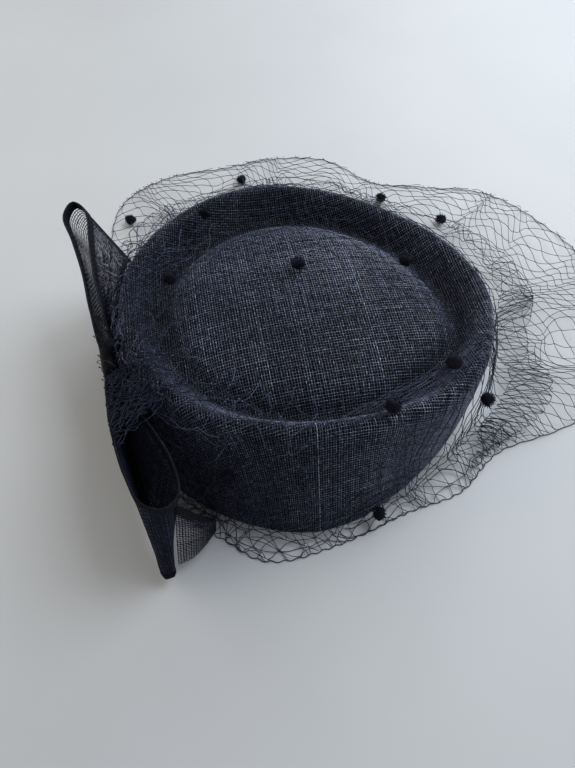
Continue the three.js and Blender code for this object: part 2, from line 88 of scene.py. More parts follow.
# Crown section from the base up: shares of base, crest, dome radius, roll, height, groove
SECTION = np.array([
    (1.00, 0.00, 0.00, 0.00, 0.00, 0.00),
    (0.80, 0.20, 0.00, 0.35, 0.15, 0.00),
    (0.54, 0.46, 0.00, 0.65, 0.37, 0.00),
    (0.28, 0.72, 0.00, 0.90, 0.60, 0.00),
    (0.09, 0.91, 0.00, 1.00, 0.81, 0.00),
    (0.00, 1.00, 0.00, 0.98, 1.00, 0.34),
    (0.00, 1.00, 0.00, 0.66, 1.00, 0.11),
    (0.00, 1.00, 0.00, 0.00, 1.00, 0.00),
    (0.00, 1.00, 0.00, -0.66, 1.00, 0.12),
    (0.00, 0.72, 0.28, -0.50, 1.00, 0.50),
    (0.00, 0.35, 0.65, -0.20, 1.00, 0.90),
    (0.00, 0.12, 0.88, 0.00, 1.00, 1.00),
    (0.00, 0.00, 0.96, 0.00, 1.00, 0.92),
    (0.00, 0.00, 0.89, 0.00, 1.00, 0.66),
    (0.00, 0.00, 0.76, 0.00, 1.00, 0.41),
    (0.00, 0.00, 0.58, 0.00, 1.00, 0.24),
    (0.00, 0.00, 0.38, 0.00, 1.00, 0.13),
    (0.00, 0.00, 0.18, 0.00, 1.00, 0.08),
])
APEX_SINK = 0.07

# Degrees from the front, hem past the base as a share of the spread, stand off the wall
VEIL_PLAN = [
    (0, 0.66, 0.40), (12, 1.02, 0.50), (24, 1.16, 0.60), (36, 1.22, 0.65),
    (48, 1.20, 0.75), (60, 1.12, 0.85), (72, 0.88, 0.95), (84, 0.76, 1.00),
    (96, 0.95, 1.00), (108, 0.96, 0.95), (120, 0.92, 0.85), (132, 0.98, 0.70),
    (144, 0.92, 0.50), (156, 0.60, 0.25), (168, 0.34, 0.08), (180, 0.22, 0.00),
    (204, 0.10, 0.00), (240, 0.09, 0.00), (260, 0.10, 0.00), (272, 0.15, 0.02),
    (288, 0.08, 0.02), (304, 0.07, 0.00), (316, 0.12, 0.04), (328, 0.21, 0.12),
    (346, 0.28, 0.22),
]
HEM, STAND = 1, 2

# Net rows that the solids have below the rim: roll, height, way to the hem, stand
NET_ROWS = [
    (1.38, 1.02, 0.00, 0.00),
    (0.25, 0.84, 0.00, 0.08),
    (0.00, 0.45, 0.00, 0.50),
    (0.00, 0.00, 0.05, 0.90),
    (0.00, 0.00, 0.29, 0.60),
    (0.00, 0.00, 0.53, 0.35),
    (0.00, 0.00, 0.77, 0.15),
    (0.00, 0.00, 1.00, 0.00),
]

# Ribbon edges: run, out, rise of the upper edge, then of the lower edge
UPPER_LOOP = [
    (0.00, 0.010, 0.84, 0.00, 0.060, 0.50),
    (0.20, 0.030, 0.96, 0.20, 0.030, 0.40),
    (0.43, 0.035, 1.05, 0.45, -0.020, 0.34),
    (0.66, 0.060, 1.12, 0.71, -0.090, 0.34),
    (0.84, 0.085, 1.17, 0.91, -0.120, 0.38),
    (0.93, 0.030, 1.19, 0.98, -0.160, 0.40),
    (0.86, -0.030, 1.17, 0.91, -0.205, 0.38),
    (0.66, -0.030, 1.12, 0.71, -0.180, 0.34),
    (0.43, -0.020, 1.05, 0.45, -0.090, 0.34),
    (0.20, -0.030, 0.96, 0.20, -0.030, 0.42),
    (0.00, -0.055, 0.84, 0.00, -0.005, 0.50),
]
LOWER_LOOP = [
    (0.00, 0.010, 0.84, 0.00, 0.060, 0.50),
    (0.20, 0.040, 0.95, 0.22, 0.060, 0.32),
    (0.44, 0.060, 0.98, 0.50, 0.075, 0.20),
    (0.66, 0.060, 0.96, 0.78, 0.080, 0.14),
    (0.82, 0.030, 0.94, 1.00, 0.075, 0.12),
    (0.88, -0.050, 0.92, 1.00, 0.025, 0.12),
    (0.83, -0.130, 0.90, 0.93, 0.036, 0.13),
    (0.64, -0.150, 0.88, 0.76, 0.052, 0.15),
    (0.42, -0.110, 0.90, 0.49, 0.047, 0.21),
    (0.20, -0.050, 0.90, 0.22, 0.030, 0.33),
    (0.00, -0.055, 0.84, 0.00, -0.005, 0.50),
]
END_PANEL = [
    (0.86, -0.100, 0.86, 0.965, -0.005, 0.14),
    (0.86, -0.155, 0.64, 0.955, -0.080, 0.12),
    (0.85, -0.205, 0.42, 0.915, -0.155, 0.11),
    (0.83, -0.250, 0.24, 0.855, -0.230, 0.10),
]

rng = np.random.default_rng(7)


# Angles, directions and soft steps

def unit(vectors):
    """The same directions at length one."""
    return vectors / np.maximum(np.linalg.norm(vectors, axis=-1, keepdims=True), 1e-9)


def polar(radius, degrees, z):
    t = math.radians(degrees)
    return np.array([radius * math.cos(t), radius * math.sin(t), z])


def bearing(x, y):
    """Angle in degrees round the axis, and distance from it."""
    return np.degrees(np.arctan2(y, x)), np.hypot(x, y)


def spun(x, y, degrees):
    t = math.radians(degrees)
    return x * math.cos(t) - y * math.sin(t), x * math.sin(t) + y * math.cos(t)


def gap_to(degrees, at):
    """Degrees from one angle to others, between -180 and 180."""
    return np.mod(degrees - at + 180, 360) - 180


def swell(offset, width):
    """A soft hump that is one at no offset and fades over a width."""
    return np.exp(-(offset / width) ** 2)


def eased(share):
    """A share from 0 to 1, slow at both ends."""
    return share * share * (3 - 2 * share)


def round_turn(values, degrees):
    """Reads a list with one value a degree at any angle."""
    return np.interp(np.mod(degrees, 360), np.arange(361), np.append(values, values[0]))


def running_mean(values, reach=12):
    """Each value of a full turn, averaged with its neighbours."""
    wide = np.concatenate([values[-reach:], values, values[:reach]])
    return np.convolve(wide, np.ones(2 * reach + 1) / (2 * reach + 1), "valid")


# Reading the tables

def turn(table, column, degrees):
    """One column of a table that runs round a full turn, as a smooth curve."""
    at = np.array([row[0] for row in table], float)
    value = np.array([row[column] for row in table], float)
    d = np.mod(np.asarray(degrees, float), 360)
    first = np.searchsorted(at, d, side="right") - 1
    count = len(at)

    def pick(offset):
        j = first + offset
        return at[j % count] + 360.0 * np.floor_divide(j, count), value[j % count]

    (a, fa), (b, fb), (c, fc), (e, fe) = pick(-1), pick(0), pick(1), pick(2)
    step = c - b
    u = (d - b) / step
    v = 1 - u
    leave = (fc - fa) / (c - a) * step
    arrive = (fe - fb) / (e - b) * step
    return (fb * (1 + 2 * u) * v * v + leave * u * v * v
            + fc * u * u * (3 - 2 * u) - arrive * u * u * v)


def plan(column, degrees):
    return HALF_LENGTH * turn(PLAN, column, degrees)


def section(degrees):
    """Radius and height of each section row at these angles: two arrays, rows by angles."""
    shares = SECTION[:, :4]
    parts = np.stack([plan(BASE, degrees), plan(CREST, degrees), plan(DOME, degrees),
                      np.full(np.shape(degrees), RIM_ROLL)])
    radius = np.tensordot(shares, parts, 1)
    height = SECTION[:, 4] * CROWN_HEIGHT - SECTION[:, 5] * GROOVE_DEPTH
    return radius, height


def wall_radius(degrees, z):
    """Outer radius of the crown's wall at a height below the roll of the rim."""
    radius, height = section(np.asarray(degrees, float))
    return np.interp(z, height[:6], radius[:6])


def net_row(row, degrees):
    """Radius and height of the middle of the solid net for one row below the rim."""
    roll, height, lie, stand = row
    lift = NET_THICKNESS / 2 + FIT_GAP
    if height > 1:
        return (float(plan(CREST, degrees)) + roll * RIM_ROLL, height * CROWN_HEIGHT + lift)
    z = height * CROWN_HEIGHT
    off = roll * RIM_ROLL + VEIL_STAND * stand * float(turn(VEIL_PLAN, STAND, degrees))
    out = VEIL_SPREAD * lie * float(turn(VEIL_PLAN, HEM, degrees))
    return float(wall_radius(degrees, z)) + NET_SLACK + off + out, max(z, NET_THICKNESS / 2)


def drape_radius(degrees, z):
    rows = [net_row(row, degrees) for row in NET_ROWS[:4]]
    return float(np.interp(-z, [-p[1] for p in rows], [p[0] for p in rows]))


def curve(rows, steps, closed=False):
    """Centripetal curve through rows, an array whose first axis is walked along."""
    rows = np.asarray(rows, float)
    count = len(rows)

    def at(i):
        if closed:
            return rows[i % count]
        if i < 0:
            return 2 * rows[0] - rows[1]
        if i >= count:
            return 2 * rows[-1] - rows[-2]
        return rows[i]

    def root(a, b):
        return np.sqrt(np.linalg.norm(b - a, axis=-1, keepdims=True))

    out = []
    for i in range(count if closed else count - 1):
        p0, p1, p2, p3 = at(i - 1), at(i), at(i + 1), at(i + 2)
        d1 = np.maximum(root(p1, p2), 1e-3)
        d0, d2 = np.maximum(root(p0, p1), 1e-3), np.maximum(root(p2, p3), 1e-3)
        m1 = ((p1 - p0) / d0 - (p2 - p0) / (d0 + d1) + (p2 - p1) / d1) * d1
        m2 = ((p2 - p1) / d1 - (p3 - p1) / (d1 + d2) + (p3 - p2) / d2) * d1
        for u in np.arange(steps) / steps:
            out.append(p1 + u * m1 + u * u * (3 * (p2 - p1) - 2 * m1 - m2)
                       + u ** 3 * (2 * (p1 - p2) + m1 + m2))
    if not closed:
        out.append(rows[-1])
    return np.array(out)


class Shell:
    """A surface that goes out from a middle in every direction, read by angle and way."""

    STEPS = 400

    def __init__(self, profile):
        """profile is points by angles by (radius, height), one angle a degree."""
        steps = np.linalg.norm(np.diff(profile, axis=0), axis=2)
        way = np.concatenate([np.zeros((1, steps.shape[1])), np.cumsum(steps, axis=0)])
        self.length = way[-1]
        share = np.linspace(0, 1, self.STEPS + 1)
        self.grid = np.array([
            [np.interp(share * way[-1, k], way[:, k], profile[:, k, c]) for c in (0, 1)]
            for k in range(360)
        ])

    def reach(self, degrees):
        """Length of the way from the middle to the edge at an angle."""
        d = np.mod(degrees, 360)
        low = np.floor(d).astype(int) % 360
        part = d - np.floor(d)
        return self.length[low] * (1 - part) + self.length[(low + 1) % 360] * part

    def point(self, degrees, way):
        d = np.mod(degrees, 360)
        share = np.clip(way / self.reach(degrees), 0, 1) * self.STEPS
        low = np.floor(d).astype(int) % 360
        high = (low + 1) % 360
        a = (d - np.floor(d))[..., None]
        i = np.minimum(np.floor(share).astype(int), self.STEPS - 1)
        b = (share - i)[..., None]
        g = self.grid
        near = g[low, :, i] * (1 - b) + g[low, :, i + 1] * b
        far = g[high, :, i] * (1 - b) + g[high, :, i + 1] * b
        rz = near * (1 - a) + far * a
        t = np.radians(degrees)
        return np.stack([rz[..., 0] * np.cos(t), rz[..., 0] * np.sin(t), rz[..., 1]], -1)

    def normal(self, degrees, way):
        turn_step, way_step = 0.8, 0.7
        around = self.point(degrees + turn_step, way) - self.point(degrees - turn_step, way)
        outward = self.point(degrees, way + way_step) - self.point(degrees, way - way_step)
        return unit(np.cross(outward, around))


ANGLES = np.arange(360.0)


def crown_shell():
    radius, height = section(ANGLES)
    rows = np.stack([radius, np.repeat(height[:, None], 360, 1)], -1)
    apex = np.stack([np.zeros(360), np.full(360, CROWN_HEIGHT - APEX_SINK * GROOVE_DEPTH)], -1)
    past = rows[-1] * (-1, 1)
    fine = curve(np.concatenate([rows, apex[None], past[None]]), 12)[:-12]
    return Shell(fine[::-1])


def veil_shell():
    """The net's lie: over the top, over the roll of the rim, down and out on the table."""
    over_top, off_wall, past_rim, below_top, on_table = 1.1, 1.9, 0.6, 1.4, 0.7
    crest = plan(CREST, ANGLES)
    stand = VEIL_STAND * turn(VEIL_PLAN, STAND, ANGLES)
    hem = VEIL_SPREAD * turn(VEIL_PLAN, HEM, ANGLES)
    radius, heights = section(ANGLES)

    def level(radii, z):
        return np.stack([radii, np.full(360, z)], -1)

    rows = [level(share * crest, CROWN_HEIGHT + over_top) for share in (0.0, 0.3, 0.6, 0.85, 1.0)]
    rows.append(level(crest + 0.8 * RIM_ROLL + past_rim, CROWN_HEIGHT - below_top))
    for _, height, lie, off in NET_ROWS[1:]:
        z = height * CROWN_HEIGHT
        wall = np.array([np.interp(z, heights[:6], radius[:6, k]) for k in range(360)])
        out = wall + off_wall + off * stand + lie * hem + (past_rim if height > 0.8 else 0)
        rows.append(level(out, max(z, on_table)))
    return Shell(curve(np.array(rows), 10))


CROWN = crown_shell()
DRAPE = veil_shell()
cad_ring = np.radians(np.arange(CROWN_STEPS) * 360.0 / CROWN_STEPS)
ring_radius = plan(BASE, np.degrees(cad_ring))
lowest = np.array([(ring_radius * np.cos(cad_ring)).min(), (ring_radius * np.sin(cad_ring)).min()])
crown_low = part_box("crown")[0]
ORIGIN = np.array([crown_low[0] * 1000 - lowest[0], crown_low[1] * 1000 - lowest[1], 0.0])


# Making meshes

def mesh_object(name, points, faces, material, shade=None, uv=None):
    """A piece of the hat from points in millimetres round the crown's axis."""
    mesh = bpy.data.meshes.new(name)
    points = (np.asarray(points, float) + ORIGIN) / 1000
    points[:, 2] = np.maximum(points[:, 2], 0.0)
    if isinstance(faces, np.ndarray):
        corners = faces.shape[1]
        mesh.vertices.add(len(points))
        mesh.vertices.foreach_set("co", points.astype(np.float32).ravel())
        mesh.loops.add(faces.size)
        mesh.loops.foreach_set("vertex_index", faces.astype(np.int32).ravel())
        mesh.polygons.add(len(faces))
        mesh.polygons.foreach_set("loop_start", np.arange(0, faces.size, corners, dtype=np.int32))
        mesh.polygons.foreach_set("loop_total", np.full(len(faces), corners, np.int32))
        mesh.update(calc_edges=True)
    else:
        mesh.from_pydata(points.tolist(), [], faces)
    if shade is not None:
        values = mesh.attributes.new("shade", "FLOAT", "POINT")
        values.data.foreach_set("value", np.asarray(shade, np.float32))
    if uv is not None:
        layer = mesh.uv_layers.new(name="weave")
        layer.data.foreach_set("uv", np.asarray(uv, np.float32).ravel())
    mesh.polygons.foreach_set("use_smooth", np.ones(len(mesh.polygons), bool))
    mesh.validate()
    mesh.materials.append(material)
    piece = bpy.data.objects.new(name, mesh)
    bpy.context.scene.collection.objects.link(piece)
    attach(piece, "root")
    return piece


def tubes(lines, normals, half_width, half_height, valid=None, closed=False):
    """Points, quads and triangles of thin three-sided tubes along lines (line, step, xyz)."""
    lines = np.asarray(lines, float)
    count, steps = lines.shape[:2]
    if closed:
        along = np.roll(lines, -1, 1) - np.roll(lines, 1, 1)
    else:
        along = np.gradient(lines, axis=1)
    side = unit(np.cross(along, normals))
    up = unit(np.cross(side, along))
    half_width = np.broadcast_to(half_width, (count, steps))[..., None]
    half_height = np.broadcast_to(half_height, (count, steps))[..., None]
    rings = np.stack([
        lines + half_width * math.cos(a) * side + half_height * math.sin(a) * up
        for a in (math.pi / 2 + 2 * math.pi * k / 3 for k in range(3))
    ], 2)
    number = np.arange(count * steps * 3).reshape(count, steps, 3)
    ahead = np.roll(number, -1, 1)
    if valid is None:
        valid = np.ones((count, steps), bool)
    joined = valid & np.roll(valid, -1, 1)
    if not closed:
        joined[:, -1] = False
    quads = np.concatenate([
        np.stack([number[..., s], number[..., t], ahead[..., t], ahead[..., s]], -1)[joined]
        for s, t in ((0, 1), (1, 2), (2, 0))
    ])
    before = np.roll(joined, 1, 1)
    starts, ends = number[joined & ~before], number[before & ~joined]
    fans = np.concatenate([starts[:, [0, 2, 1]], ends])
    return rings.reshape(-1, 3), quads, fans


def merge(parts):
    """Joins (points, quads, triangles, shade) into one list of triangles."""
    points, faces, shades, start = [], [], [], 0
    for p, quads, fans, shade in parts:
        split = np.concatenate([quads[:, [0, 1, 2]], quads[:, [0, 2, 3]], fans]) + start
        points.append(p)
        faces.append(split)
        shades.append(np.broadcast_to(shade, len(p)))
        start += len(p)
    points, faces, shades = np.concatenate(points), np.concatenate(faces), np.concatenate(shades)
    used, faces = np.unique(faces, return_inverse=True)
    return points[used], faces.reshape(-1, 3), shades[used]


def wander(lines, steps, size):
    """Slow random drift of each line, line by step."""
    at = np.arange(steps)[None, :]
    total = np.zeros((lines, steps))
    for length, part in ((61.0, 0.5), (23.0, 0.3), (9.0, 0.2)):
        phase = rng.random((lines, 1)) * 2 * math.pi
        pace = 2 * math.pi / (length * (0.8 + 0.4 * rng.random((lines, 1))))
        total += part * np.sin(at * pace + phase)
    return size * total


# How much a thread's width varies, then how often, how wide and how light its slubs are
WIDTH_SPREAD = 0.12
SLUB_SHARE = 0.012
SLUB_WIDTH = 1.7
BRIGHT_WIDTH = 1.3
BRIGHT_SHADE = 1.1
LIGHTEST = 1.3


def woven(grid, normals, widths, height, rise, mask=None, drift=0.0, thick=0.18,
          tone=(0.45, 0.12, 0.22, 0.0), bright=None, painted_tone=0.0):
    """Threads both ways over a grid of crossings, each over and under the next.

    tone is the mean shade, its spread from strand to strand and along a strand, and how much
    lighter a strand is where it lies on top and darker where it lies under: a painted highlight
    and painted shade. bright picks strands and crossings. The last argument adds painted light.
    """
    rows, columns = grid.shape[:2]
    if mask is None:
        mask = np.ones((rows, columns), bool)
    painted_tone = np.broadcast_to(painted_tone, (rows, columns))
    wave = np.where((np.add.outer(np.arange(rows), np.arange(columns)) % 2) == 0, rise, -rise)
    mean, between, within, painted_float_highlight = tone
    parts = []
    for axis in (0, 1):
        points, up, over, seen, painted_light = grid, normals, wave, mask, painted_tone
        if axis == 1:
            points, up, over, seen, painted_light = (
                np.swapaxes(x, 0, 1) for x in (grid, normals, -wave, mask, painted_tone))
        count, steps = points.shape[:2]
        side = unit(np.cross(np.gradient(points, axis=1), up))
        stray = wander(count, steps, drift)
        lines = points + over[..., None] * up + stray[..., None] * side
        strand = np.exp(rng.normal(0, thick, (count, 1)))
        width = widths[axis] * strand * (1 + WIDTH_SPREAD * rng.normal(0, 1, (count, steps)))
        width = np.where(rng.random((count, steps)) < SLUB_SHARE, SLUB_WIDTH * width, width)
        shade = rng.normal(mean, between, (count, 1)) + rng.normal(0, within, (count, steps))
        # Painted highlight where a strand lies on top, painted shade where it lies under, plus the painted
        # light passed in.
        shade = np.clip(shade + painted_light + painted_float_highlight * np.sign(over), 0, LIGHTEST)
        if bright is not None and axis == 0:
            slubs = bright[0][:, None] & bright[1]
            width = np.where(slubs, BRIGHT_WIDTH * widths[axis], width)
            shade = np.where(slubs, BRIGHT_SHADE, shade)
        width = np.clip(width, 0.4 * widths[axis], 2 * widths[axis])
        parts.append((*tubes(lines, up, width, height, seen), np.repeat(shade.ravel(), 3)))
    return merge(parts)


def cloth(name, material, woven_parts):
    points, faces, shade = woven_parts
    return mesh_object(name, points, faces, material, shade=shade)


# Materials

COOL_SHEEN = (0.75, 0.82, 1.0, 1)


def nodes_of(name):
    material = bpy.data.materials.new(name)
    material.use_nodes = True
    tree = material.node_tree
    shader = tree.nodes["Principled BSDF"]
    return material, tree, shader


def link(tree, a, b):
    tree.links.new(a, b)


def math_node(tree, operation, a, b=None):
    node = tree.nodes.new("ShaderNodeMath")
    node.operation = operation
    for socket, value in zip(node.inputs, (a, b)):
        if value is None:
            continue
        if isinstance(value, (int, float)):
            socket.default_value = value
        else:
            link(tree, value, socket)
    return node.outputs[0]


def ramp(tree, factor, stops):
    node = tree.nodes.new("ShaderNodeValToRGB")
    elements = node.color_ramp.elements
    while len(elements) < len(stops):
        elements.new(0.5)
    for element, (at, color) in zip(elements, stops):
        element.position = at
        element.color = (*color, 1)
    link(tree, factor, node.inputs[0])
    return node.outputs[0]


def noise(tree, scale, detail=3.0, rough=0.5):
    place = tree.nodes.new("ShaderNodeTexCoord")
    node = tree.nodes.new("ShaderNodeTexNoise")
    node.inputs["Scale"].default_value = scale
    node.inputs["Detail"].default_value = detail
    node.inputs["Roughness"].default_value = rough
    link(tree, place.outputs["Object"], node.inputs["Vector"])
    return node.outputs["Fac"]


def mixed(tree, *parts):
    """Sum of values, each times its share."""
    total = 0.0
    for value, share in parts:
        total = math_node(tree, "ADD", math_node(tree, "MULTIPLY", value, share), total)
    return total


def paint(tree, shader, tone, stops, values):
    """Colours a shader by a ramp over its tone, and sets its other inputs by name."""
    link(tree, ramp(tree, tone, stops), shader.inputs["Base Color"])
    for name, value in values.items():
        shader.inputs[name].default_value = value


def bump(tree, shader, height, strength, distance):
    node = tree.nodes.new("ShaderNodeBump")
    node.inputs["Strength"].default_value = strength
    node.inputs["Distance"].default_value = distance
    link(tree, height, node.inputs["Height"])
    link(tree, node.outputs[0], shader.inputs["Normal"])


def thread_material(name, dark, mid, light, roughness, sheen, patch=14.0, gloss=0.35):
    """Fibre threads: each strand has its own tone, with patches and fine flecks."""
    material, tree, shader = nodes_of(name)
    strand = tree.nodes.new("ShaderNodeAttribute")
    strand.attribute_name = "shade"
    tone = mixed(tree, (strand.outputs["Fac"], 0.55), (noise(tree, 900.0, 2.0), 0.5),
                 (noise(tree, patch), 0.3))
    tone = math_node(tree, "SUBTRACT", tone, 0.22)
    paint(tree, shader, tone, [(0.12, dark), (0.45, mid), (0.95, light)], {
        "Roughness": roughness, "Specular IOR Level": gloss, "Sheen Weight": sheen,
        "Sheen Roughness": 0.4, "Sheen Tint": COOL_SHEEN})
    bump(tree, shader, noise(tree, 2600.0, 2.0), 0.35, 0.0001)
    return material


def weave_material(name, dark, light, roughness, sheen):
    """Plain weave over the mesh's own thread counts, one unit a thread."""
    material, tree, shader = nodes_of(name)
    place = tree.nodes.new("ShaderNodeUVMap")
    place.uv_map = "weave"
    split = tree.nodes.new("ShaderNodeSeparateXYZ")
    link(tree, place.outputs[0], split.inputs[0])

    def do(operation, a, b=None):
        return math_node(tree, operation, a, b)

    u, v = split.outputs[0], split.outputs[1]
    across, along = (do("ABSOLUTE", do("SINE", do("MULTIPLY", x, math.pi))) for x in (u, v))
    cell = do("ADD", do("FLOOR", u), do("FLOOR", v))
    odd = do("MODULO", do("ABSOLUTE", cell), 2.0)
    even = do("SUBTRACT", 1.0, odd)
    over = do("ADD", do("MULTIPLY", across, odd), do("MULTIPLY", along, even))
    crossing = do("MULTIPLY", do("MULTIPLY", across, along), 0.4)
    height = do("MULTIPLY", over, do("ADD", 0.6, crossing))
    tone = mixed(tree, (height, 0.6), (noise(tree, 500.0, 3.0), 0.4))
    paint(tree, shader, tone, [(0.25, dark), (0.9, light)], {
        "Roughness": roughness, "Sheen Weight": sheen, "Sheen Tint": COOL_SHEEN,
        "Specular IOR Level": 0.3})
    bump(tree, shader, height, 0.8, 0.0004)
    return material


def plain_material(name, dark, light, roughness, scale, depth, sheen=0.0, sheen_color=(1, 1, 1)):
    material, tree, shader = nodes_of(name)
    paint(tree, shader, noise(tree, scale, 4.0), [(0.35, dark), (0.7, light)], {
        "Roughness": roughness, "Sheen Weight": sheen, "Sheen Tint": (*sheen_color, 1)})
    bump(tree, shader, noise(tree, scale * 3, 3.0), 0.5, depth)
    return material


STRAW = thread_material(
    "straw_threads", (0.004, 0.005, 0.012), (0.098, 0.118, 0.195), (0.66, 0.75, 0.98), 0.34, 0.05,
    14.0, 0.7)
STRAW_UNDER = weave_material("straw_under", (0.001, 0.001, 0.003), (0.005, 0.006, 0.012), 0.7, 0.0)
RIBBON = thread_material(
    "ribbon_threads", (0.002, 0.003, 0.009), (0.012, 0.016, 0.040), (0.09, 0.11, 0.20), 0.45, 0.03,
    30.0, 0.22)
RIBBON_HEM = weave_material("ribbon_hem", (0.0008, 0.001, 0.004), (0.005, 0.007, 0.020), 0.7, 0.0)
NET = thread_material(
    "net_threads", (0.004, 0.005, 0.013), (0.020, 0.024, 0.050), (0.08, 0.095, 0.17), 0.5, 0.1, 30.0)
# A lighter copy of the net's threads: painted light, for strands that lie over the dark crown and the bow.
NET_LIT = thread_material(
    "net_painted_light", (0.004, 0.006, 0.018), (0.040, 0.049, 0.098), (0.19, 0.22, 0.36), 0.5, 0.1, 30.0)
CHENILLE = plain_material(
    "chenille", (0.0006, 0.0008, 0.005), (0.003, 0.004, 0.020), 0.9, 700.0, 0.0003, 0.06, (0.4, 0.5, 1.0))
TABLE = plain_material("table", (0.575, 0.605, 0.655), (0.605, 0.635, 0.685), 0.55, 6.0, 0.0002)


# Crown: a smooth inner layer and a coarse woven layer over it

LAYER_INSET = 0.45
LAYER_PITCH = 1.5
LAYER_FLAT = 72.0
LAYER_TURN = 1.66
FABRIC_LEAN = 23.0
FABRIC_PITCH = (1.34, 1.46)
SHEAR = 1.5
WALL_STRETCH = 1.15
BRIGHT_THREAD = -12.0


def crown_layer():
    turns, ways = 144, 84
    share = np.linspace(0, 1, ways + 1)[1:]
    degrees = np.arange(turns) * 360.0 / turns
    d, s = np.meshgrid(degrees, share, indexing="ij")
    way = s * CROWN.reach(d)
    normal = CROWN.normal(d, way)
    outer = CROWN.point(d, way) - LAYER_INSET * normal
    inner = CROWN.point(d, way) - CROWN_WALL * normal
    outer[:, -1, 2] = 0.0
    inner[:, -1, 2] = 0.0
    top = CROWN_HEIGHT - APEX_SINK * GROOVE_DEPTH
    points = [*outer.reshape(-1, 3), *inner.reshape(-1, 3),
              (0, 0, top - LAYER_INSET), (0, 0, top - CROWN_WALL)]
    skin = turns * ways
    faces, uv = [], []

    def threads(j, i):
        """Thread counts at a corner: flat cloth over the dome, wound cloth past it."""
        angle = 360.0 * j / turns
        distance = share[i] * CROWN.reach(np.array(angle % 360.0))
        if distance < LAYER_FLAT:
            return tuple(polar(distance / LAYER_PITCH, angle, 0)[:2])
        return angle * LAYER_TURN / LAYER_PITCH, distance / LAYER_PITCH

    for j in range(turns):
        n = (j + 1) % turns
        for i in range(ways - 1):
            a, b, c, e = j * ways + i, n * ways + i, n * ways + i + 1, j * ways + i + 1
            faces.append((a, e, c, b))
            faces.append((skin + a, skin + b, skin + c, skin + e))
            corners = [threads(j, i), threads(j, i + 1), threads(j + 1, i + 1), threads(j + 1, i)]
            uv.extend(corners)
            uv.extend([corners[0], corners[3], corners[2], corners[1]])
        faces.append((2 * skin, j * ways, n * ways))
        faces.append((2 * skin + 1, skin + n * ways, skin + j * ways))
        here, ahead = threads(j, 0), threads(j + 1, 0)
        uv.extend([(0, 0), here, ahead, (0, 0), ahead, here])
        last = ways - 1
        faces.append((j * ways + last, skin + j * ways + last, skin + n * ways + last, n * ways + last))
        here, ahead = threads(j, last), threads(j + 1, last)
        uv.extend([here, here, ahead, ahead])
    piece = mesh_object("crown_layer", points, faces, STRAW_UNDER, uv=uv)
    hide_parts("crown")


def crest_way():
    """Way from the middle of the dome to the crest of the rim, one angle a degree."""
    outer = CROWN.grid[:, 1, int(0.4 * Shell.STEPS):]
    crest = (outer.argmax(1) + 0.4 * Shell.STEPS) / Shell.STEPS * CROWN.length
    return running_mean(crest)


def groove_way():
    """Way from the middle of the dome to the lowest line of the groove, one angle a degree."""
    found = []
    for profile, crest, length in zip(CROWN.grid[:, 1], CREST_WAY, CROWN.length):
        last = int(crest / length * Shell.STEPS)
        first = int(0.55 * last)
        found.append((first + profile[first:last].argmin()) / last * crest)
    return running_mean(found)


CREST_WAY = crest_way()
GROOVE_WAY = groove_way()


def blocked(fx, fy):
    """Angle and way of a point of the flat cloth once it is blocked into the crown.

    Inside the crest the cloth is laid out as it is. Past it the threads of each side
    run on down the wall, and the cloth shears between the four sides.
    """
    flat, reach = bearing(fx, fy)
    spin = FABRIC_LEAN
    quarter = np.floor(np.mod(flat - spin, 360) / 90)
    low, high = quarter * 90, quarter * 90 + 90
    for _ in range(26):
        middle = (low + high) / 2
        crest = round_turn(CREST_WAY, middle + spin)
        part = np.radians(middle - quarter * 90)
        lean = np.arctan2(np.sin(part) ** SHEAR, np.maximum(np.cos(part), 0) ** SHEAR)
        ray = lean + np.radians(quarter * 90 + spin)
        at = np.radians(middle + spin)
        cross = (fx - crest * np.cos(at)) * np.sin(ray) - (fy - crest * np.sin(at)) * np.cos(ray)
        low, high = np.where(cross < 0, middle, low), np.where(cross < 0, high, middle)
    past = np.hypot(fx - crest * np.cos(at), fy - crest * np.sin(at))
    inside = reach <= round_turn(CREST_WAY, flat)
    return np.where(inside, flat, middle + spin), np.where(inside, reach, crest + past * WALL_STRETCH)


def painted_crown_light(degrees, way):
    """Painted light on the crown's cloth, lighter above 0 and darker below 0: painted shade in the groove,
    beside the bow and on the far rim, and a painted highlight on the dome.
    """
    past = way - round_turn(CREST_WAY, degrees)
    # Painted shade along the groove.
    groove = swell(way - round_turn(GROOVE_WAY, degrees), 8.0)
    # Painted shade on the rim and wall beside the bow.
    painted_bow_shade = swell(gap_to(degrees, BOW_ANGLE), 48) * np.clip((past + 30) / 20, 0, 1)
    # Painted shade on the inner slope of the far rim.
    far = swell(gap_to(degrees, 95), 50) * swell(past + 6, 9)
    # Painted highlight on the top of the dome, towards its far right.
    x, y = way * np.cos(np.radians(degrees)), way * np.sin(np.radians(degrees))
    painted_dome_highlight = swell(x - 12, 46) * swell(y - 22, 34)
    # Sum of the painted highlight and the painted shade, with a slight darkening everywhere.
    return 0.16 * painted_dome_highlight - 0.04 - 0.36 * groove - 0.20 * painted_bow_shade - 0.16 * far


